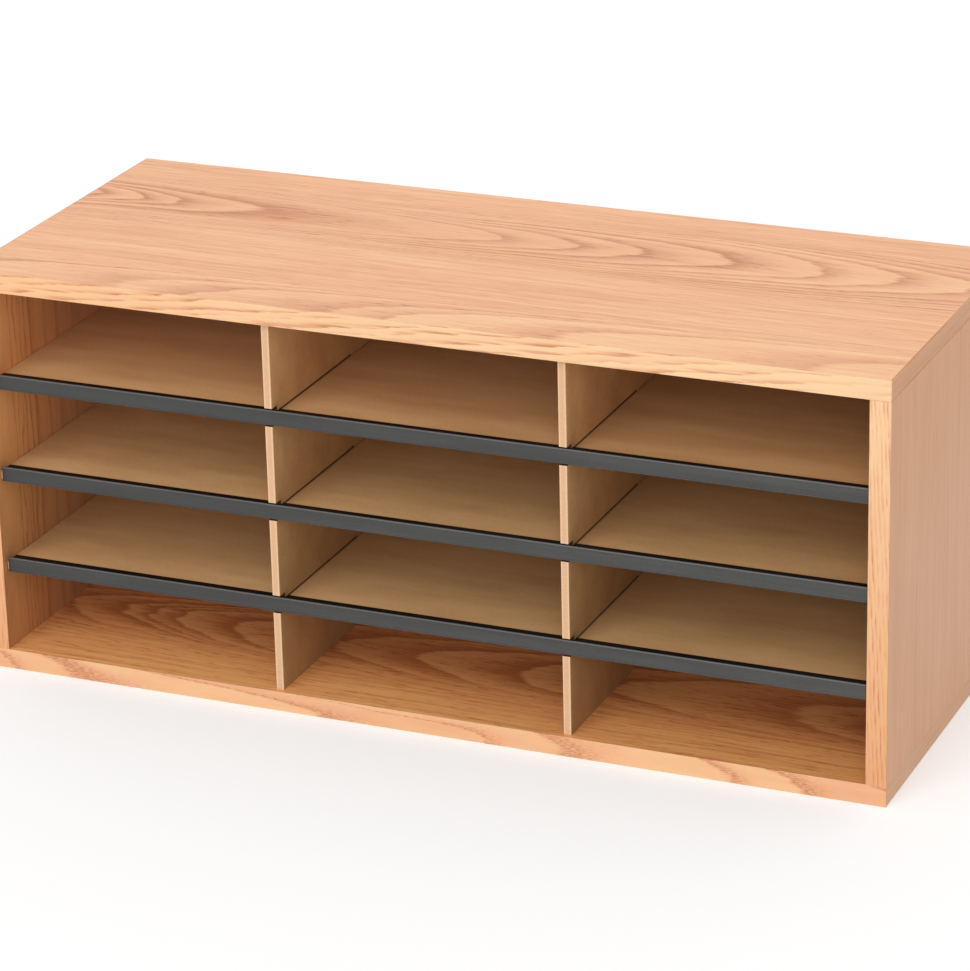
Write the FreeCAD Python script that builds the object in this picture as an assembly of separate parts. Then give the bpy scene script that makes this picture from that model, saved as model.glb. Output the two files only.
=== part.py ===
import FreeCAD, Part
import os

# A desk organizer for literature: a laminated board cabinet with three columns and four rows
# of open compartments. Lengths are in millimetres. X runs to the right along the front,
# Y runs from the front to the back, Z runs up, and the origin is the middle of the underside.

# Cabinet
width = 736.6
depth = 301.6
height = 328.6
board = 15.9
band = 1.0
edge_round = 0.5

# Back sheet, let into a rebate in the rear edges of the four boards
back_sheet = 3.2
back_inset = 0.8
rebate_width = 8.0
back_edge_gap = 0.5

# Dividers and shelves are cut from one thickness of fibreboard
sheet = 6.4
columns = 3
divider_setback = 5.0
divider_round = 0.6
groove_depth = 3.0
groove_play = 0.1
sheet_end_gap = 0.3

# Shelf tops, counted up from the table
first_shelf_top = 88.4
shelf_pitch = 75.8
shelf_names = ["lower", "middle", "upper"]
shelf_side_gap = 0.6
shelf_back_gap = 0.5

# Half-lap between a shelf and a divider: the divider is slotted from the front, the shelf from the back
lap_depth = 145.0
lap_end_gap = 0.4
slot_gap_above = 1.3
slot_gap_below = 0.4
slot_gap_beside = 0.4

# Plastic moulding clipped over the front edge of each shelf
rail_face = 1.5
rail_rise = 4.0
rail_cover = 1.0
rail_floor = 1.4
rail_flange = 12.5
rail_end_gap = 1.9
rail_round = 0.35
card_groove = 2.3
card_rib = 1.0
card_rib_height = 2.6
face_recess = 0.4
face_lip = 1.0

# Open mouth cut in a divider's front edge so that the moulding can pass
mouth_depth = 14.5
mouth_gap_below = 1.2
lip_room_depth = 8.8
lip_room_above = 1.4

# Shelf pins in the side boards
pin_diameter = 5.0
pin_in_board = 8.0
pin_out = 8.0
pin_front = 37.0
pin_rear = 260.0
pin_gap = 0.4
pin_chamfer = 0.5

# Glued dowels between the side boards and the top and bottom boards
dowel_diameter = 8.0
dowel_length = 30.0
dowel_in_flat = 12.0
dowel_end_gap = 0.5
dowel_chamfer = 0.8
top_dowel_places = [40.0, 150.8, 261.6]
bottom_dowel_places = [95.4, 206.2]

# Screws through the bottom board into the side boards
screw_diameter = 6.4
screw_length = 50.0
screw_head_diameter = 9.6
screw_head_height = 4.0
screw_sink = 0.5
screw_tip = 4.0
screw_socket_width = 4.0
screw_socket_depth = 2.6
bottom_screw_places = [40.0, 150.8, 261.6]

# Flat-headed nails that hold the back sheet
nail_diameter = 1.6
nail_length = 17.0
nail_head_diameter = 3.6
nail_head_height = 0.6
nail_edge = 4.0
nails_across = 5
nails_up = 2

# Worked out from the sizes above
half_width = width / 2
front = -depth / 2
rear = depth / 2
inner_half = half_width - board
floor_z = board
ceiling_z = height - board
cell_width = (2 * inner_half - (columns - 1) * sheet) / columns
divider_centres = [-(cell_width + sheet) / 2, (cell_width + sheet) / 2]
back_outer = rear - back_inset
back_inner = back_outer - back_sheet
divider_front = front + divider_setback
shelf_front = divider_front + rail_face
shelf_tops = [first_shelf_top + i * shelf_pitch for i in range(len(shelf_names))]
nail_half_span = inner_half + nail_edge
nail_low = floor_z - nail_edge
nail_high = ceiling_z + nail_edge


def block(x0, x1, y0, y1, z0, z1):
    """Box between two corners."""
    return Part.makeBox(x1 - x0, y1 - y0, z1 - z0, FreeCAD.Vector(x0, y0, z0))


def rod(diameter, start, direction, length):
    """Cylinder from a start point along a direction."""
    return Part.makeCylinder(diameter / 2, length, FreeCAD.Vector(*start), FreeCAD.Vector(*direction))


def along(edge, axis):
    """True for a straight edge that runs along one axis: 0 for X, 1 for Y, 2 for Z."""
    box = edge.BoundBox
    spans = [box.XLength, box.YLength, box.ZLength]
    return all(span < 1e-6 for i, span in enumerate(spans) if i != axis)


def round_edges(shape, radius, axis, wanted):
    """Rounds the straight edges along an axis whose middle point passes the test."""
    picked = [e for e in shape.Edges if along(e, axis) and wanted(e.BoundBox.Center)]
    return shape.makeFillet(radius, picked)


def near(a, b):
    return abs(a - b) < 0.01


def save(name, shape):
    shape.exportStep("parts/" + name + ".step")


def nail_spots():
    """Nail centres on the back sheet as (x, z): along the top and bottom, then up both sides."""
    spots = []
    for i in range(nails_across):
        x = nail_half_span * (2 * i / (nails_across - 1) - 1) * 0.94
        spots.append((x, nail_low))
        spots.append((x, nail_high))
    for i in range(nails_up):
        z = floor_z + (ceiling_z - floor_z) * (i + 1) / (nails_up + 1)
        spots.append((-nail_half_span, z))
        spots.append((nail_half_span, z))
    return spots


def pin_spots(side):
    """Pin centres on the inner face of one side board (side is -1 or +1)."""
    spots = []
    for top in shelf_tops:
        z = top - sheet - pin_gap - pin_diameter / 2
        for place in (pin_front, pin_rear):
            spots.append((side * inner_half, front + place, z))
    return spots


def joint_x(side):
    """X of the line of dowels and screws in the middle of a side board's thickness."""
    return side * (half_width - board / 2)


def dowel_holes_flat(places, face_z, up):
    """Blind holes in a flat board; up is +1 where the holes rise from its lower face."""
    depth_here = dowel_in_flat + dowel_end_gap
    holes = []
    for side in (-1, 1):
        for place in places:
            holes.append(rod(dowel_diameter, (joint_x(side), front + place, face_z), (0, 0, up), depth_here))
    return holes


def dowel_holes_side(side, places, face_z, up):
    """Blind holes in the end of a side board."""
    depth_here = dowel_length - dowel_in_flat + dowel_end_gap
    return [rod(dowel_diameter, (joint_x(side), front + p, face_z), (0, 0, up), depth_here) for p in places]


def divider_grooves(z0, z1):
    """Grooves that hold the ends of the dividers, open towards the back."""
    half = sheet / 2 + groove_play
    return [block(x - half, x + half, divider_front - groove_play, rear, z0, z1) for x in divider_centres]


def back_rebate():
    """The space that is cut from the rear edges of the boards for the back sheet."""
    edge = inner_half + rebate_width
    return block(-edge, edge, back_inner, rear + 1, floor_z - rebate_width, ceiling_z + rebate_width)


def nail_holes():
    """Holes driven by the nails into the boards and the back sheet."""
    return [rod(nail_diameter, (x, back_outer, z), (0, -1, 0), nail_length) for x, z in nail_spots()]


def screw_body(x, y):
    """Countersunk furniture screw, upright with its head at the underside."""
    head_z = screw_sink
    neck_z = head_z + screw_head_height
    tip_z = head_z + screw_length
    r_head = screw_head_diameter / 2
    r = screw_diameter / 2
    cone = Part.makeCone(r_head, r, screw_head_height, FreeCAD.Vector(x, y, head_z))
    shank = rod(screw_diameter, (x, y, neck_z), (0, 0, 1), tip_z - screw_tip - neck_z)
    tip = Part.makeCone(r, r * 0.35, screw_tip, FreeCAD.Vector(x, y, tip_z - screw_tip))
    return cone.fuse([shank, tip]).removeSplitter()


def hexagon_socket(x, y):
    """Hexagonal hole in the screw's head."""
    corner = screw_socket_width / 2 / 0.8660254
    points = []
    for i in range(7):
        turn = FreeCAD.Rotation(FreeCAD.Vector(0, 0, 1), 60 * i)
        points.append(FreeCAD.Vector(x, y, screw_sink) + turn.multVec(FreeCAD.Vector(corner, 0, 0)))
    return Part.Face(Part.makePolygon(points)).extrude(FreeCAD.Vector(0, 0, screw_socket_depth))


def screw_wells(x, y):
    """What a screw takes out of the boards, with its head sunk below the underside."""
    well = rod(screw_head_diameter, (x, y, -1), (0, 0, 1), 1 + screw_sink)
    return screw_body(x, y).fuse(well)


def make_top_panel():
    panel = block(-half_width + band, half_width - band, front + band, rear, ceiling_z, height)
    cuts = [back_rebate()]
    cuts += divider_grooves(ceiling_z, ceiling_z + groove_depth)
    cuts += dowel_holes_flat(top_dowel_places, ceiling_z, 1)
    cuts += nail_holes()
    return panel.cut(cuts)


def make_bottom_panel():
    panel = block(-half_width + band, half_width - band, front + band, rear, 0, floor_z)
    cuts = [back_rebate()]
    cuts += divider_grooves(floor_z - groove_depth, floor_z)
    cuts += dowel_holes_flat(bottom_dowel_places, floor_z, -1)
    cuts += nail_holes()
    for side in (-1, 1):
        for place in bottom_screw_places:
            cuts.append(screw_wells(joint_x(side), front + place))
    return panel.cut(cuts)


def make_side_panel(side):
    x0, x1 = sorted((side * inner_half, side * half_width))
    panel = block(x0, x1, front + band, rear, floor_z, ceiling_z)
    cuts = [back_rebate()]
    cuts += dowel_holes_side(side, top_dowel_places, ceiling_z, -1)
    cuts += dowel_holes_side(side, bottom_dowel_places, floor_z, 1)
    cuts += nail_holes()
    for place in bottom_screw_places:
        cuts.append(screw_body(joint_x(side), front + place))
    for spot in pin_spots(side):
        cuts.append(rod(pin_diameter, spot, (side, 0, 0), pin_in_board))
    return panel.cut(cuts)


def make_back_panel():
    edge = inner_half + rebate_width - back_edge_gap
    low = floor_z - rebate_width + back_edge_gap
    high = ceiling_z + rebate_width - back_edge_gap
    panel = block(-edge, edge, back_inner, back_outer, low, high)
    cuts = nail_holes()
    for x, z in nail_spots():
        cuts.append(rod(nail_head_diameter, (x, back_outer, z), (0, -1, 0), nail_head_height))
    return panel.cut(cuts)


def make_front_band(x0, x1, z0, z1, axis):
    """Edge strip along the front of a board; axis is the way that it runs."""
    strip = block(x0, x1, front, front + band, z0, z1)
    return round_edges(strip, edge_round, axis, lambda c: near(c.y, front))


def make_end_band(side, z0, z1):
    """Edge strip on one end of the top or bottom board."""
    x0, x1 = sorted((side * (half_width - band), side * half_width))
    strip = block(x0, x1, front + band, rear, z0, z1)
    return round_edges(strip, edge_round, 1, lambda c: near(c.x, side * half_width))


def make_divider(x):
    """Upright sheet with a slot and an open mouth for each shelf."""
    half = sheet / 2
    low = floor_z - groove_depth + groove_play
    high = ceiling_z + groove_depth - groove_play
    plate = block(x - half, x + half, divider_front, back_inner - sheet_end_gap, low, high)
    slot_end = front + lap_depth + lap_end_gap
    mouth_end = divider_front + mouth_depth
    lip_room_end = divider_front + lip_room_depth
    cuts = []
    for top in shelf_tops:
        under = top - sheet
        spans = [
            (slot_end, under - slot_gap_below, top + slot_gap_above),
            (mouth_end, under - rail_floor - mouth_gap_below, top),
            (lip_room_end, top, top + rail_rise + lip_room_above),
        ]
        for end, z0, z1 in spans:
            cuts.append(block(x - sheet, x + sheet, front, end, z0, z1))
    plate = plate.cut(cuts).removeSplitter()
    return round_edges(plate, divider_round, 2, lambda c: near(c.y, divider_front))


def make_shelf(top):
    """Full-width sheet, slotted from the back for the dividers."""
    half = inner_half - shelf_side_gap
    back = back_inner - shelf_back_gap
    plate = block(-half, half, shelf_front, back, top - sheet, top)
    slot_start = front + lap_depth - lap_end_gap
    slot_half = sheet / 2 + slot_gap_beside
    slots = [block(x - slot_half, x + slot_half, slot_start, back, top - sheet, top) for x in divider_centres]
    return plate.cut(slots)


def make_rail(top):
    """Plastic clip around the shelf's front edge: raised face, card groove behind it, and two flanges."""
    y0 = divider_front
    y1 = y0 + rail_face
    rib_front = y1 + card_groove
    rib_back = rib_front + card_rib
    tail = y1 + rail_flange
    under = top - sheet
    foot_z = under - rail_floor
    lip_z = top + rail_rise
    cover_z = top + rail_cover
    rib_z = top + card_rib_height
    outline = [
        (y0, foot_z),
        (y0, foot_z + face_lip),
        (y0 + face_recess, foot_z + face_lip),
        (y0 + face_recess, lip_z - face_lip),
        (y0, lip_z - face_lip),
        (y0, lip_z),
        (y1, lip_z),
        (y1, cover_z),
        (rib_front, cover_z),
        (rib_front, rib_z),
        (rib_back, rib_z),
        (rib_back, cover_z),
        (tail, cover_z),
        (tail, top),
        (y1, top),
        (y1, under),
        (tail, under),
        (tail, foot_z),
    ]
    half = inner_half - rail_end_gap
    points = [FreeCAD.Vector(-half, y, z) for y, z in outline]
    section = Part.Face(Part.makePolygon(points + points[:1]))
    rail = section.extrude(FreeCAD.Vector(2 * half, 0, 0))
    rims = [(y1, lip_z), (tail, cover_z), (tail, foot_z)]

    def exposed(c):
        return near(c.y, y0) or any(near(c.y, y) and near(c.z, z) for y, z in rims)

    return round_edges(rail, rail_round, 0, exposed)


def make_dowel(x, y, low):
    dowel = rod(dowel_diameter, (x, y, low), (0, 0, 1), dowel_length)
    rims = [e for e in dowel.Edges if near(e.BoundBox.ZLength, 0)]
    return dowel.makeChamfer(dowel_chamfer, rims)


def make_dowels(places, low):
    """Dowels in both side boards, standing on one level."""
    return Part.makeCompound([make_dowel(joint_x(side), front + p, low) for side in (-1, 1) for p in places])


def make_screws():
    screws = []
    for side in (-1, 1):
        for place in bottom_screw_places:
            x = joint_x(side)
            y = front + place
            screws.append(screw_body(x, y).cut(hexagon_socket(x, y)))
    return Part.makeCompound(screws)


def make_nails():
    nails = []
    for x, z in nail_spots():
        shank = rod(nail_diameter, (x, back_outer, z), (0, -1, 0), nail_length)
        head = rod(nail_head_diameter, (x, back_outer, z), (0, -1, 0), nail_head_height)
        nails.append(shank.fuse(head).removeSplitter())
    return Part.makeCompound(nails)


def make_pin(spot, side):
    """Steel pin, half in the side board and half under the shelf."""
    x, y, z = spot
    pin = rod(pin_diameter, (x + side * pin_in_board, y, z), (-side, 0, 0), pin_in_board + pin_out)
    rims = [e for e in pin.Edges if near(e.BoundBox.XLength, 0)]
    return pin.makeChamfer(pin_chamfer, rims)


def make_pins():
    return Part.makeCompound([make_pin(spot, side) for side in (-1, 1) for spot in pin_spots(side)])


os.makedirs("parts", exist_ok=True)

# Boards and back
save("top_panel", make_top_panel())
save("bottom_panel", make_bottom_panel())
save("left_side_panel", make_side_panel(-1))
save("right_side_panel", make_side_panel(1))
save("back_panel", make_back_panel())

# Edge strips
save("top_front_band", make_front_band(-half_width, half_width, ceiling_z, height, 0))
save("bottom_front_band", make_front_band(-half_width, half_width, 0, floor_z, 0))
save("left_front_band", make_front_band(-half_width, -inner_half, floor_z, ceiling_z, 2))
save("right_front_band", make_front_band(inner_half, half_width, floor_z, ceiling_z, 2))
for side, word in ((-1, "left"), (1, "right")):
    save("top_" + word + "_band", make_end_band(side, ceiling_z, height))
    save("bottom_" + word + "_band", make_end_band(side, 0, floor_z))

# Dividers, shelves and their mouldings
for word, x in zip(("left", "right"), divider_centres):
    save(word + "_divider", make_divider(x))
for word, top in zip(shelf_names, shelf_tops):
    save(word + "_shelf", make_shelf(top))
    save(word + "_shelf_moulding", make_rail(top))

# Fasteners and supports
save("top_dowels", make_dowels(top_dowel_places, ceiling_z + dowel_in_flat - dowel_length))
save("bottom_dowels", make_dowels(bottom_dowel_places, floor_z - dowel_in_flat))
save("bottom_screws", make_screws())
save("back_nails", make_nails())
save("shelf_pins", make_pins())
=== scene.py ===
import math

import bpy
from mathutils import Matrix, Vector

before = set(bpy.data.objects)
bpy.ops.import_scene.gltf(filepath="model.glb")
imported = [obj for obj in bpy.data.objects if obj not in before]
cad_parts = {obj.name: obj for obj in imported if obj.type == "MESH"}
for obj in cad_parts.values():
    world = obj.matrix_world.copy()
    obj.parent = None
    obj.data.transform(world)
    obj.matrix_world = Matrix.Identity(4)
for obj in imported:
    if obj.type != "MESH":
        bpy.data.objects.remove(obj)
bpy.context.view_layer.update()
scene = bpy.context.scene

# Camera, as fitted to the photograph's edges
FRAME_LONG_SIDE = 971
FOCAL_PIXELS = 4186.3
SENSOR_MM = 36.0
AIM = Vector((0.0586, -0.1508, 0.2093))
DISTANCE = 3.0649
AZIMUTH = math.radians(23.485)
ELEVATION = math.radians(21.604)
ROLL = math.radians(-1.398)

# Light: a white sky, one broad lamp in front of the cabinet, and a pale floor
SKY = 0.66
BACKDROP = 1.0
KEY = 0.6
KEY_FROM = Vector((0.02, -0.84, 0.54))
KEY_ANGLE = math.radians(62)
KEY_DISTANCE = 3.0
FLOOR_SIZE = 40.0
FLOOR_GREY = 0.8
FLOOR_LIFT = 0.25

# The cabinet, in millimetres
HALF_WIDTH = 368.3
FRONT = -150.8
REAR = 150.8
HEIGHT = 328.6
BOARD = 15.9
CEILING = HEIGHT - BOARD
BAND = 1.0
SKIN = 0.3
BACK_INSET = 0.8

# Its fibreboard and mouldings. The foot is how far a moulding reaches below its shelf's top
SHEET = 6.4
SETBACK = 5.0
DIVIDER_X = (HALF_WIDTH - BOARD + SHEET / 2) / 3
FIRST_SHELF_TOP = 88.4
SHELF_PITCH = 75.8
RAIL_FACE = 1.5
RAIL_FOOT = SHEET + 1.4
RAIL_HEIGHT = RAIL_FOOT + 4.0


def linear(colour):
    """A colour given as 0 to 255 sRGB values, as Blender's linear RGBA."""
    values = []
    for part in colour:
        part /= 255
        values.append(part / 12.92 if part <= 0.04045 else ((part + 0.055) / 1.055) ** 2.4)
    return (*values, 1.0)


class Field:
    """A value that varies over a surface. Arithmetic on it adds Math nodes to its tree."""

    def __init__(self, surface, socket):
        self.surface = surface
        self.socket = socket

    def __add__(self, other):
        return self.surface.math("ADD", self, other)

    def __radd__(self, other):
        return self.surface.math("ADD", other, self)

    def __sub__(self, other):
        return self.surface.math("SUBTRACT", self, other)

    def __rsub__(self, other):
        return self.surface.math("SUBTRACT", other, self)

    def __mul__(self, other):
        return self.surface.math("MULTIPLY", self, other)

    def __rmul__(self, other):
        return self.surface.math("MULTIPLY", other, self)

    def __truediv__(self, other):
        return self.surface.math("DIVIDE", self, other)

    def __pow__(self, other):
        return self.surface.math("POWER", self, other)

    def __abs__(self):
        return self.surface.math("ABSOLUTE", self)


class Surface:
    """Writes the nodes of one material. Its places are in millimetres in the cabinet's frame."""

    def __init__(self, name):
        self.tree = bpy.data.materials[name].node_tree
        self.shader = self.tree.nodes["Principled BSDF"]
        spot = self.add("ShaderNodeTexCoord")
        self.x, self.y, self.z = [part * 1000 for part in self.split(spot.outputs["Object"])]
        self.facing_x, _, self.facing_z = [abs(part) for part in self.split(spot.outputs["Normal"])]

    def boards(self):
        """Masks of the top board, the bottom board and what stands between them."""
        top = self.step(self.z, CEILING - 0.02, CEILING - 0.01)
        bottom = 1 - self.step(self.z, BOARD + 0.01, BOARD + 0.02)
        return top, bottom, 1 - top - bottom

    def rise(self, start):
        """Height above a start that comes again at every shelf."""
        return self.math("WRAP", self.z - start, 0.0, SHELF_PITCH)

    def add(self, kind, **settings):
        node = self.tree.nodes.new(kind)
        for key, value in settings.items():
            setattr(node, key, value)
        return node

    def feed(self, node, key, value):
        if isinstance(value, Field):
            self.tree.links.new(value.socket, node.inputs[key])
        elif isinstance(value, tuple):
            node.inputs[key].default_value = linear(value)
        else:
            node.inputs[key].default_value = value

    def split(self, socket):
        node = self.add("ShaderNodeSeparateXYZ")
        self.tree.links.new(socket, node.inputs[0])
        return [Field(self, output) for output in node.outputs]

    def join(self, x, y, z):
        node = self.add("ShaderNodeCombineXYZ")
        for key, value in enumerate((x, y, z)):
            self.feed(node, key, value)
        return Field(self, node.outputs[0])

    def math(self, operation, *values):
        node = self.add("ShaderNodeMath", operation=operation)
        for key, value in enumerate(values):
            self.feed(node, key, value)
        return Field(self, node.outputs[0])

    def clamp(self, value, low=0.0, high=1.0):
        return self.math("MINIMUM", self.math("MAXIMUM", value, low), high)

    def step(self, value, low, high):
        """0 below low, 1 above high and smooth between them."""
        node = self.add("ShaderNodeMapRange", interpolation_type="SMOOTHSTEP")
        for key, part in enumerate((value, low, high)):
            self.feed(node, key, part)
        return Field(self, node.outputs[0])

    def within(self, value, low, high, soft=0.02):
        """1 from low to high, else 0."""
        return self.step(value, low - soft, low) * (1 - self.step(value, high, high + soft))

    def noise(self, x, y, z, detail=2.0, roughness=0.5):
        """Noise between about -1 and 1. The places come in already scaled to its grain."""
        node = self.add("ShaderNodeTexNoise")
        self.feed(node, "Vector", self.join(x, y, z))
        self.feed(node, "Scale", 1.0)
        self.feed(node, "Detail", detail)
        self.feed(node, "Roughness", roughness)
        return (Field(self, node.outputs[0]) - 0.5) * 3

    def random(self, number, seed):
        """A value from 0 to 1 that depends only on a whole number."""
        node = self.add("ShaderNodeTexWhiteNoise", noise_dimensions="1D")
        self.feed(node, "W", number + (seed + 0.5))
        return Field(self, node.outputs[0])

    def chips(self, x, y, z):
        """Cells of random brightness, 0 to 1."""
        node = self.add("ShaderNodeTexVoronoi")
        self.feed(node, "Vector", self.join(x, y, z))
        self.feed(node, "Scale", 1.0)
        return self.split(node.outputs["Color"])[0]

    def mix(self, amount, first, second):
        """Colour from first to second; a colour is a field or 0 to 255 values."""
        node = self.add("ShaderNodeMix", data_type="RGBA", clamp_factor=True)
        self.feed(node, 0, amount)
        self.feed(node, 6, first)
        self.feed(node, 7, second)
        return Field(self, node.outputs[2])

    def gain(self, amount, colour, factors):
        """Multiplies a colour's channels by linear factors, where amount is 1."""
        node = self.add("ShaderNodeMix", data_type="RGBA", blend_type="MULTIPLY", clamp_factor=True)
        self.feed(node, 0, amount)
        self.feed(node, 6, colour)
        node.inputs[7].default_value = (*factors, 1.0)
        return Field(self, node.outputs[2])

    def tint(self, tone, *stops):
        """Colour by tone, from (place, colour) stops."""
        node = self.add("ShaderNodeValToRGB")
        self.feed(node, 0, tone)
        elements = node.color_ramp.elements
        for element, (place, colour) in zip(elements, (stops[0], stops[-1])):
            element.position = place
            element.color = linear(colour)
        for place, colour in stops[1:-1]:
            elements.new(place).color = linear(colour)
        return Field(self, node.outputs[0])

    def rings(self, along, starts, beyond, seed, fade=2.0):
        """Growth rings: dark where each one starts, then paler. Starts are places along, in order.

        Outside the starts a ring comes every so many millimetres (beyond). Also gives the tone
        of the pale part of each ring, from -1 to 1.
        """
        first, last = starts[0], starts[-1]
        count = len(starts) - 1
        node = self.add("ShaderNodeFloatCurve")
        curve = node.mapping.curves[0]
        for number, start in enumerate(starts[1:-1], 1):
            curve.points.new((start - first) / (last - first), number / count)
        for point in curve.points:
            point.handle_type = "VECTOR"
        node.mapping.update()
        self.feed(node, "Value", self.clamp((along - first) / (last - first)))
        outside = self.math("MAXIMUM", along - last, 0.0) + self.math("MINIMUM", along - first, 0.0)
        order = Field(self, node.outputs[0]) * count + outside / beyond
        number = self.math("FLOOR", order)
        part = order - number
        dark = self.step(part, 0.0, 0.1) * (1 - part) ** fade * (0.65 + 0.35 * self.random(number, seed))
        pale = (self.random(number, seed + 40) * 2 - 1) * self.step(part, 0.1, 0.6)
        return dark, pale

    def finish(self, colour, roughness, height, depth, specular):
        """Connects the shader; height is between about 0 and 1 and depth its size in mm."""
        bump = self.add("ShaderNodeBump")
        self.feed(bump, "Distance", depth / 1000)
        self.feed(bump, "Height", height)
        self.tree.links.new(bump.outputs[0], self.shader.inputs["Normal"])
        self.feed(self.shader, "Base Color", colour)
        self.feed(self.shader, "Roughness", roughness)
        self.feed(self.shader, "Specular IOR Level", specular)


def make_camera():
    forward = Vector((
        -math.sin(AZIMUTH) * math.cos(ELEVATION),
        math.cos(AZIMUTH) * math.cos(ELEVATION),
        -math.sin(ELEVATION),
    ))
    level = Vector((math.cos(AZIMUTH), math.sin(AZIMUTH), 0.0))
    upright = level.cross(forward)
    across = math.cos(ROLL) * level + math.sin(ROLL) * upright
    up = across.cross(forward)
    data = bpy.data.cameras.new("camera")
    data.sensor_width = SENSOR_MM
    data.lens = FOCAL_PIXELS * SENSOR_MM / FRAME_LONG_SIDE
    camera = bpy.data.objects.new("camera", data)
    turn = Matrix((across, up, -forward)).transposed().to_4x4()
    camera.matrix_world = Matrix.Translation(AIM - forward * DISTANCE) @ turn
    scene.collection.objects.link(camera)
    scene.camera = camera


def make_lights():
    world = bpy.data.worlds.new("studio")
    world.use_nodes = True
    tree = world.node_tree
    plain = tree.nodes["Background"]
    plain.inputs["Strength"].default_value = SKY
    white = tree.nodes.new("ShaderNodeBackground")
    white.inputs["Strength"].default_value = BACKDROP
    for sheet in (plain, white):
        sheet.inputs["Color"].default_value = (1.0, 1.0, 1.0, 1.0)
    mix = tree.nodes.new("ShaderNodeMixShader")
    tree.links.new(seen_directly(tree), mix.inputs[0])
    tree.links.new(plain.outputs[0], mix.inputs[1])
    tree.links.new(white.outputs[0], mix.inputs[2])
    tree.links.new(mix.outputs[0], tree.nodes["World Output"].inputs[0])
    scene.world = world

    data = bpy.data.lights.new("key", "SUN")
    data.energy = KEY * math.pi
    data.angle = KEY_ANGLE
    key = bpy.data.objects.new("key", data)
    key.rotation_mode = "QUATERNION"
    key.rotation_quaternion = KEY_FROM.to_track_quat("Z", "Y")
    key.location = KEY_FROM * KEY_DISTANCE
    scene.collection.objects.link(key)


def seen_directly(tree):
    """1 for camera, glossy and transmission rays, which see the white background."""
    path = tree.nodes.new("ShaderNodeLightPath")
    value = path.outputs["Is Camera Ray"]
    for other in ("Is Glossy Ray", "Is Transmission Ray"):
        more = tree.nodes.new("ShaderNodeMath")
        more.operation = "MAXIMUM"
        tree.links.new(value, more.inputs[0])
        tree.links.new(path.outputs[other], more.inputs[1])
        value = more.outputs[0]
    return value


def make_floor():
    bpy.ops.mesh.primitive_plane_add(size=FLOOR_SIZE)
    floor = bpy.context.object
    floor.name = "floor"
    material = bpy.data.materials.new("floor")
    material.use_nodes = True
    tree = material.node_tree
    shader = tree.nodes["Principled BSDF"]
    shader.inputs["Base Color"].default_value = (FLOOR_GREY, FLOOR_GREY, FLOOR_GREY, 1.0)
    shader.inputs["Roughness"].default_value = 1.0
    shader.inputs["Specular IOR Level"].default_value = 0.0
    shader.inputs["Emission Color"].default_value = (1.0, 1.0, 1.0, 1.0)
    lift = tree.nodes.new("ShaderNodeMath")
    lift.operation = "MULTIPLY"
    lift.inputs[1].default_value = FLOOR_LIFT
    tree.links.new(seen_directly(tree), lift.inputs[0])
    tree.links.new(lift.outputs[0], shader.inputs["Emission Strength"])
    floor.data.materials.append(material)


make_camera()
make_lights()
make_floor()


def top_grain(s, ragged, drift):
    """Top board: one cathedral along the rear half, and one that the front edge cuts."""
    heart = 56
    across = abs(s.y - heart - 5 * s.noise(s.x * 0.004, 7.0, s.z * 0.02))
    width = 0.66 + 0.34 * s.step(s.x, -150.0, 250.0)
    along = s.x + 0.018 * (across / width) ** 2.4 + 4 * ragged + 14 * drift
    starts = (-420, -368, -323, -290, -228, -20, 48, 100, 168, 248, 304, 360, 420)
    rear, rear_pale = s.rings(along, starts, 56.0, 3, 2.5)
    rear_reach = s.within(s.y, 4.0, 98.0, 18.0)

    across = s.y - FRONT
    along = 0.04 * across * across + (across / 42) ** 6 * 50 - s.x + 5 * ragged + 12 * drift
    starts = (-460, -313, -118, 16, 63, 178, 240, 385, 460)
    front, front_pale = s.rings(along, starts, 60.0, 11)
    front_reach = 1 - s.step(s.y, -108.0, -86.0)

    dark = rear * rear_reach + 0.8 * front * front_reach
    pale = rear_pale * rear_reach * 0.5 + (0.5 * front_pale + 0.6) * front_reach
    straight = 1 - 0.6 * (rear_reach + front_reach)
    return dark, pale, straight


def bottom_grain(s, ragged, drift):
    """Bottom board: one cathedral whose arches point to the left."""
    heart = -50
    across = abs(s.y - heart - 6 * s.noise(s.x * 0.004, 2.0, s.z * 0.02))
    along = 0.02 * across ** 2.35 - s.x + 5 * ragged + 16 * drift
    starts = (-400, -335, -272, -129, -45, 38, 109, 204, 257, 281, 300, 350)
    dark, pale = s.rings(along, starts, 52.0, 23, 1.4)
    reach = s.step(s.y, -115.0, -60.0)
    return dark * reach, pale * reach * 0.5, 1 - 0.6 * reach


def side_grain(s, ragged, drift):
    """Side boards: upright lines, close together behind the front edge and wider apart further in."""
    starts = (-10, 34, 40, 46, 50, 57, 66, 88, 106, 130, 164, 176, 204, 240, 290)
    lines, _ = s.rings(s.y - FRONT + 5 * drift + 1.5 * ragged, starts, 40.0, 61, 5.0)
    return lines


def in_skin(s, is_top, is_side):
    """1 in the laminate on a board's two faces, 0 on the particleboard between them."""
    level = abs(s.z - (CEILING * is_top + BOARD / 2))
    upright = abs(abs(s.x) - (HALF_WIDTH - BOARD / 2))
    off_middle = level * (1 - is_side) + upright * is_side
    return s.step(off_middle, BOARD / 2 - SKIN, BOARD / 2 - SKIN + 0.05)


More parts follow.
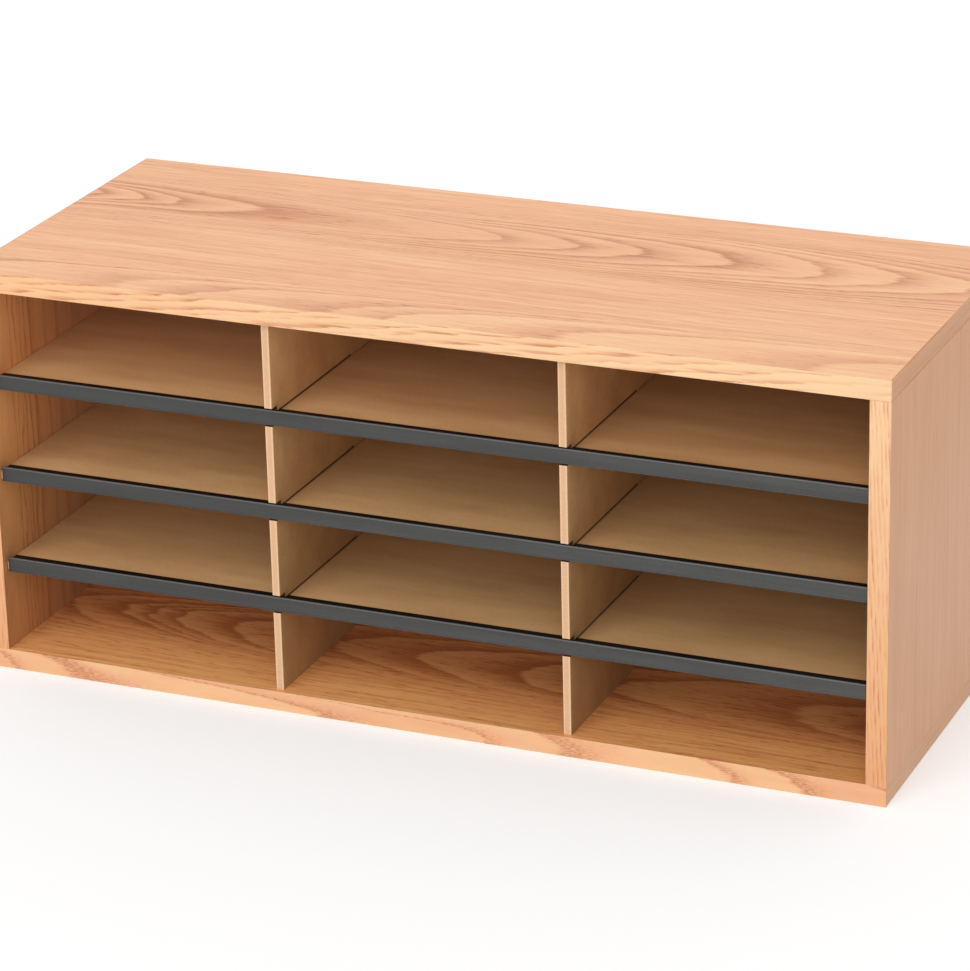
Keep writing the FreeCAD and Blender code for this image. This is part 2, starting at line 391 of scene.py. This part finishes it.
def paint_light_and_shade_on_laminate(s, veneer, is_top, is_bottom, outside, inside, deep):
    """Painted light and shade by place: the compartments' faces are browner, and the cabinet's ends greyer.
    """
    inner = 1 - outside - is_top * s.step(s.z, CEILING + 1, HEIGHT - 1)
    rightward = s.step(s.x, -HALF_WIDTH, HALF_WIDTH)
    # Painted light: the compartments' faces browner, as under warm light bounced inside.
    veneer = s.gain(inner, veneer, (0.9, 0.79, 0.54))
    # Painted light and shade on the side boards' inner faces: paler overall, darker low down and under the
    # top board, and bluer and paler deep in.
    veneer = s.gain(inside, veneer, (1.24, 1.25, 1.28))
    veneer = s.gain(inside * (1 - s.step(s.z, 30.0, 300.0)), veneer, (0.6, 0.6, 0.62))
    veneer = s.gain(inside * s.step(s.z, 225.0, 260.0), veneer, (0.84, 0.88, 0.92))
    veneer = s.gain(inside * deep, veneer, (0.93, 1.08, 1.45))
    # Painted light: the bottom board's floor paler towards the back.
    veneer = s.gain(is_bottom * inner * s.step(s.y, -110.0, 20.0), veneer, (1.22, 1.4, 1.7))
    # Painted shade: the inner faces greyer towards the right.
    veneer = s.gain(inner * rightward, veneer, (0.88, 0.84, 0.8))
    # Painted shade: the outer faces darker, and warmer towards the top.
    veneer = s.gain(outside, veneer, (0.79, 0.815, 0.85))
    return s.gain(outside * s.step(s.z, 120.0, HEIGHT), veneer, (0.99, 0.92, 0.8))


def oak_laminate():
    """Oak-pattern laminate, with bare particleboard where a board's core shows."""
    s = Surface("oak_laminate")
    is_top, is_bottom, is_side = s.boards()
    outside = s.step(abs(s.x), HALF_WIDTH - BOARD, HALF_WIDTH - 1) * is_side
    inside = is_side - outside
    deep = s.step(s.y, FRONT, 20.0)
    run = s.x * (1 - is_side) + s.z * is_side
    depth = s.x * is_side + s.z * (1 - is_side)

    ragged = s.noise(run * 0.03, s.y * 0.8, depth)
    drift = s.noise(run * 0.012, s.y * 0.05, depth * 0.1)
    fibre = s.noise(run * 0.03, s.y * 1.3, depth, 3.0, 0.6)
    wavy = s.y + 3 * s.noise(run * 0.009, s.y * 0.012, depth * 0.05)
    stripes = s.noise(run * 0.006, wavy * 0.3, depth, 3.0, 0.7)
    broad = s.noise(run * 0.003, s.y * 0.03, depth * 0.1)
    specks = s.noise(run * 0.07, s.y * 0.65, depth * 0.65, 2.0)

    top_dark, top_pale, top_straight = top_grain(s, ragged, drift)
    low_dark, low_pale, low_straight = bottom_grain(s, ragged, drift)
    dark = top_dark * is_top + low_dark * is_bottom
    dark = dark + side_grain(s, ragged, drift) * (0.3 * outside + inside * (1.8 - 1.3 * deep))
    pale = top_pale * is_top + low_pale * is_bottom
    straight = top_straight * is_top + 1.7 * low_straight * is_bottom + outside + 0.4 * inside
    bold = 1.6 + 0.3 * is_bottom - 0.3 * is_side - 0.6 * outside
    pores = s.step(specks, 0.15, 0.7) * (0.3 + 0.5 * is_bottom + dark)
    tone = 0.4 + bold * (0.5 * dark + 0.22 * straight * stripes + 0.16 * fibre + 0.35 * pores - 0.05)
    tone = tone - 0.2 * pale + 0.08 * broad + 0.09 * straight * is_top
    veneer = s.tint(
        tone,
        (0.1, (250, 200, 151)),
        (0.4, (240, 179, 135)),
        (0.8, (215, 150, 109)),
        (1.0, (196, 129, 88)),
    )
    # Painted light and shade by place, over the laminate's own colour.
    veneer = paint_light_and_shade_on_laminate(s, veneer, is_top, is_bottom, outside, inside, deep)

    skin = in_skin(s, is_top, is_side)
    flakes = 0.6 * s.chips(s.x * 0.35, s.y * 0.35, s.z * 1.1) + 0.4 * s.chips(s.x * 0.9, s.y * 0.9, s.z * 2.2)
    core = s.tint(flakes, (0.0, (150, 112, 72)), (0.5, (192, 156, 112)), (1.0, (224, 194, 150)))

    # Paler in patches within 4 mm of the top and bottom boards' ends: wear, and a painted highlight along the
    # seam with the sides.
    rub_and_painted_light = s.step(abs(s.x), HALF_WIDTH - 4, HALF_WIDTH) * (1 - is_side) * s.step(broad + fibre, 0.0, 0.8)
    colour = s.mix(rub_and_painted_light * 0.25, s.mix(skin, core, veneer), (250, 214, 176))
    roughness = 0.44 + 0.05 * broad + 0.12 * pores + 0.3 * (1 - skin)
    height = 0.6 - 0.4 * pores - 0.1 * dark + 0.15 * fibre + 0.5 * flakes * (1 - skin)
    s.finish(colour, roughness, height, 0.06, 0.3)


def top_band_grain(s, ragged, drift):
    """Top strip: long streaks that climb slowly to the right and fade near the right end."""
    climb = s.z - CEILING - 0.1 * s.x + 0.9 * ragged + 3.2 * drift
    streaks, pale = s.rings(climb, (0.0, 6.8, 11.4, 18.2, 22.6, 30.0, 35.0), 6.2, 5, 2.5)
    calm = 1 - 0.7 * s.step(s.x, 240.0, 340.0)
    return 1.4 * calm * streaks, pale


def bottom_band_grain(s, ragged, drift, specks):
    """Bottom strip: porous bows, most bent left of the middle."""
    low = s.z - 1.5
    bend = 0.12 + 0.65 * (1 - s.step(s.x, -50.0, 70.0)) * s.step(s.x, -310.0, -245.0)
    starts = (-420, -352, -304, -87, 50, 112, 248, 300, 380)
    bows, pale = s.rings(s.x + bend * low * low + 5 * ragged + 8 * drift, starts, 70.0, 31, 6.0)
    return bows * (0.3 + 2.0 * s.step(specks, -0.25, 0.4)), pale


def upright_band_grain(s, ragged, drift):
    """Side strips: fine lines that lean a little."""
    lean = s.x + 0.05 * s.z + 0.5 * ragged + 1.2 * drift
    lines, _ = s.rings(lean, (0.0, 3.4, 5.8, 9.6, 12.0), 3.1, 8, 2.0)
    return lines


def oak_banding():
    """Oak-pattern edge strips, yellower than the laminate, with a dark line where they meet it."""
    s = Surface("oak_banding")
    is_top, is_bottom, is_upright = s.boards()
    is_end = s.step(s.y, FRONT + BAND, FRONT + BAND + 0.02)
    flat = 1 - is_end
    run = s.x * flat * (1 - is_upright) + s.y * is_end + s.z * is_upright
    across = s.z * (1 - is_upright) + s.x * is_upright
    ragged = s.noise(run * 0.06, across * 2.2, is_end * 9.0)
    drift = s.noise(run * 0.015, across * 0.1, is_end * 5.0 + is_top * 3.0)
    fibre = s.noise(run * 0.03, across * 2.6, is_end * 7.0, 3.0, 0.6)
    specks = s.noise(run * 0.22, across * 2.4, is_end * 4.0, 1.0)
    broken = s.step(s.noise(run * (0.02 + 0.03 * is_upright), across * 0.35, is_upright * 5.0), -0.6, 0.5)

    top_dark, top_pale = top_band_grain(s, ragged, drift)
    low_dark, low_pale = bottom_band_grain(s, ragged, drift, specks)
    upright_dark = upright_band_grain(s, ragged, drift)
    end_lines = s.noise(s.y * 0.008, s.z * 0.5, 8.0, 3.0) * 0.5
    lines = broken * (top_dark * is_top + upright_dark * is_upright) + low_dark * is_bottom
    dark = flat * lines + is_end * end_lines
    pale = flat * (top_pale * is_top + low_pale * is_bottom)
    tone = 0.22 + 0.8 * dark - 0.1 * pale + 0.12 * fibre + 0.1 * drift + 0.16 * is_bottom * flat
    colour = s.tint(
        tone,
        (0.0, (233, 200, 157)),
        (0.3, (231, 189, 145)),
        (0.55, (221, 165, 127)),
        (0.9, (190, 134, 95)),
    )
    colour = s.gain(is_bottom, colour, (0.97, 0.89, 0.84))
    # Painted light and shade: the side strips darker towards the bottom, and the top strip warmer towards the
    # left.
    colour = s.gain(is_upright * (1 - s.z / CEILING), colour, (0.86, 0.64, 0.53))
    colour = s.gain(is_top * (1 - s.step(s.x, -HALF_WIDTH, 0.0)), colour, (1.0, 0.9, 0.82))
    colour = s.gain(is_end * is_top, colour, (0.81, 0.58, 0.45))
    colour = s.gain(is_end * (1 - is_top), colour, (0.87, 0.81, 0.83))
    edge = s.within(s.y, FRONT + BAND - 0.12, FRONT + BAND, 0.04) * flat
    colour = s.mix(edge * 0.6, colour, (190, 130, 90))
    roughness = 0.42 + 0.06 * drift + 0.15 * dark
    height = 0.6 - 0.5 * dark + 0.2 * fibre
    s.finish(colour, roughness, height, 0.05, 0.3)


def fibreboard_cuts(s, off_divider, in_divider):
    """Masks of upright places, of painted shade on cut edges in the slots, at the dividers' feet (with rub
    lines) and behind the dividers' fronts, and of the sheets' faces.
    """
    upright = s.step(s.facing_x, 0.4, 0.6)
    level = s.step(s.facing_z, 0.4, 0.6)
    rise = s.rise(FIRST_SHELF_TOP - SHEET - 0.3)
    # Painted shade: the dividers' and slots' level cut edges, a line along each divider's foot, and the
    # dividers' cut edges behind their fronts.
    divider_edge = in_divider * (1 - s.within(rise, 0.1, 7.0))
    on_top = 0.8 * s.within(rise, SHEET, SHEET + 0.6)
    rub_and_painted_light = on_top * s.within(off_divider, SHEET / 2 - 1.4, SHEET / 2 + 0.6, 0.3)
    behind = in_divider * s.step(s.y, FRONT + SETBACK + 2.0, FRONT + SETBACK + 2.2)
    dark = s.clamp(level * (divider_edge + rub_and_painted_light) + behind)
    face = s.clamp(upright * in_divider + level * (1 - divider_edge - rub_and_painted_light))
    return upright, dark, face


def fibreboard():
    """Bare brown fibreboard, with paler sawn edges; the dividers' are darker along their middle. Painted
    shade darkens its hidden cut edges, and painted light and shade vary it by place.
    """
    s = Surface("fibreboard")
    off_divider = abs(abs(s.x) - DIVIDER_X)
    in_divider = 1 - s.step(off_divider, SHEET / 2 + 0.05, SHEET / 2 + 0.1)
    upright, slot_shade, face = fibreboard_cuts(s, off_divider, in_divider)

    cloud = s.noise(s.x * 0.012, s.y * 0.05, s.z * 0.04, 3.0)
    felt = s.noise(s.x * 0.35, s.y * 0.35, s.z * 0.35, 3.0, 0.65)
    hairs = s.noise(s.x * 0.25, s.y * 1.8, s.z * 0.9, 2.0) + s.noise(s.x * 1.8, s.y * 0.3, s.z * 1.2, 2.0)
    tone = 0.5 + 0.22 * cloud + 0.1 * felt + 0.06 * hairs
    sheet = s.tint(tone, (0.1, (180, 137, 92)), (0.5, (205, 163, 114)), (0.9, (222, 184, 136)))

    core = 1 - s.step(off_divider, 1.2, 2.6)
    cut = s.tint(
        0.55 + 0.08 * felt + 0.05 * hairs - 0.25 * core * in_divider,
        (0.1, (197, 154, 115)),
        (0.5, (221, 183, 147)),
        (0.9, (236, 207, 175)),
    )
    # Painted shade: dark brown in the slots, along the dividers' feet and on cut edges behind their fronts.
    cut = s.mix(slot_shade, cut, (84, 54, 32))
    # Painted light and shade: the sheets greyer towards the right and paler towards the back, and the upright
    # faces paler but darker low down.
    sheet = s.gain(s.step(s.x, -HALF_WIDTH, HALF_WIDTH), sheet, (0.82, 0.8, 0.76))
    sheet = s.gain(s.step(s.y, -110.0, 20.0) * (1 - 0.6 * upright), sheet, (1.26, 1.36, 1.5))
    sheet = s.gain(upright, sheet, (1.16, 1.12, 1.08))
    sheet = s.gain(upright * (1 - s.step(s.z, 40.0, 290.0)), sheet, (0.66, 0.64, 0.62))
    colour = s.mix(face, cut, sheet)
    roughness = 0.68 + 0.06 * cloud + 0.1 * (1 - face)
    height = 0.5 + 0.3 * felt + 0.25 * hairs
    s.finish(colour, roughness, height, 0.05, 0.22)


def back_hardboard():
    """Pale hardboard: smooth inside, with the press screen's pattern outside."""
    s = Surface("back_hardboard")
    cloud = s.noise(s.x * 0.015, s.y * 0.5, s.z * 0.015, 3.0)
    felt = s.noise(s.x * 0.4, s.y * 0.4, s.z * 0.4, 3.0, 0.65)
    mesh = s.math("SINE", s.x * 3.1) * s.math("SINE", s.z * 3.1)
    outside = s.step(s.y, REAR - BACK_INSET - 0.4, REAR - BACK_INSET - 0.2)
    tone = 0.5 + 0.16 * cloud + 0.16 * felt + 0.1 * mesh * outside
    colour = s.tint(tone, (0.1, (176, 142, 104)), (0.5, (200, 168, 130)), (0.9, (218, 190, 154)))
    roughness = 0.6 + 0.06 * cloud + 0.12 * outside
    height = 0.5 + 0.25 * felt + 0.3 * mesh * outside
    s.finish(colour, roughness, height, 0.08, 0.25)


def moulding_plastic():
    """Charcoal plastic with faint lines along it, a painted highlight on its lip, painted shade on the
    flanges behind its face, and painted light towards the right.
    """
    s = Surface("moulding_plastic")
    face_back = FRONT + SETBACK + RAIL_FACE
    rise = s.rise(FIRST_SHELF_TOP - RAIL_FOOT)
    front = 1 - s.step(s.y, face_back + 0.1, face_back + 0.2)
    lip = s.step(rise, RAIL_HEIGHT - 1.1, RAIL_HEIGHT - 1.0) * front
    lines = s.noise(s.x * 0.004, s.y * 2.5, s.z * 2.5, 3.0)
    haze = s.noise(s.x * 0.012, s.y * 0.1, s.z * 0.12, 3.0)
    grit = s.noise(s.x * 0.8, s.y * 0.8, s.z * 0.8, 2.0)
    scuffs = s.step(s.noise(s.x * 0.03, s.y * 0.9, s.z * 1.6, 2.0), 0.55, 0.9)
    # Painted highlight on the lip, and painted shade on the flanges behind the face.
    tone = 0.4 + 0.1 * haze + 0.08 * lines + 0.06 * grit + 0.45 * lip + 0.12 * scuffs - 0.4 * (1 - front)
    # Painted light: lighter towards the right.
    tone = tone + 0.08 * s.x / HALF_WIDTH
    colour = s.tint(tone, (0.0, (20, 18, 17)), (0.4, (53, 53, 52)), (0.9, (92, 90, 90)))
    roughness = 0.42 + 0.06 * haze + 0.05 * grit + 0.1 * scuffs
    height = 0.5 + 0.2 * lines + 0.15 * grit
    s.finish(colour, roughness, height, 0.03, 0.1 + 0.4 * front)


def dowel_wood():
    """Plain beech."""
    s = Surface("dowel_wood")
    flutes = s.noise(s.x * 1.6, s.y * 1.6, s.z * 0.05, 3.0)
    flecks = s.step(s.noise(s.x * 2.4, s.y * 2.4, s.z * 0.4, 1.0), 0.4, 0.8)
    tone = 0.5 + 0.2 * flutes + 0.25 * flecks
    colour = s.tint(tone, (0.1, (232, 198, 152)), (0.5, (217, 178, 130)), (0.9, (192, 148, 100)))
    s.finish(colour, 0.6 + 0.1 * flutes, 0.5 + 0.3 * flutes - 0.2 * flecks, 0.05, 0.3)


def plated_steel():
    """Zinc-plated steel, dull in places."""
    s = Surface("plated_steel")
    spangle = s.noise(s.x * 0.9, s.y * 0.9, s.z * 0.9, 3.0)
    drawn = s.noise(s.x * 0.3, s.y * 4.0, s.z * 4.0, 2.0)
    dull = s.step(s.noise(s.x * 0.25, s.y * 0.25, s.z * 0.25, 3.0), 0.0, 0.7)
    tone = 0.5 + 0.2 * spangle + 0.1 * drawn - 0.2 * dull
    colour = s.tint(tone, (0.1, (148, 148, 150)), (0.5, (186, 187, 190)), (0.9, (212, 213, 216)))
    s.feed(s.shader, "Metallic", 1.0)
    s.finish(colour, 0.32 + 0.08 * spangle + 0.16 * dull, 0.5 + 0.2 * drawn + 0.2 * spangle, 0.02, 0.5)


oak_laminate()
oak_banding()
fibreboard()
back_hardboard()
moulding_plastic()
dowel_wood()
plated_steel()

scene.view_settings.view_transform = "Standard"
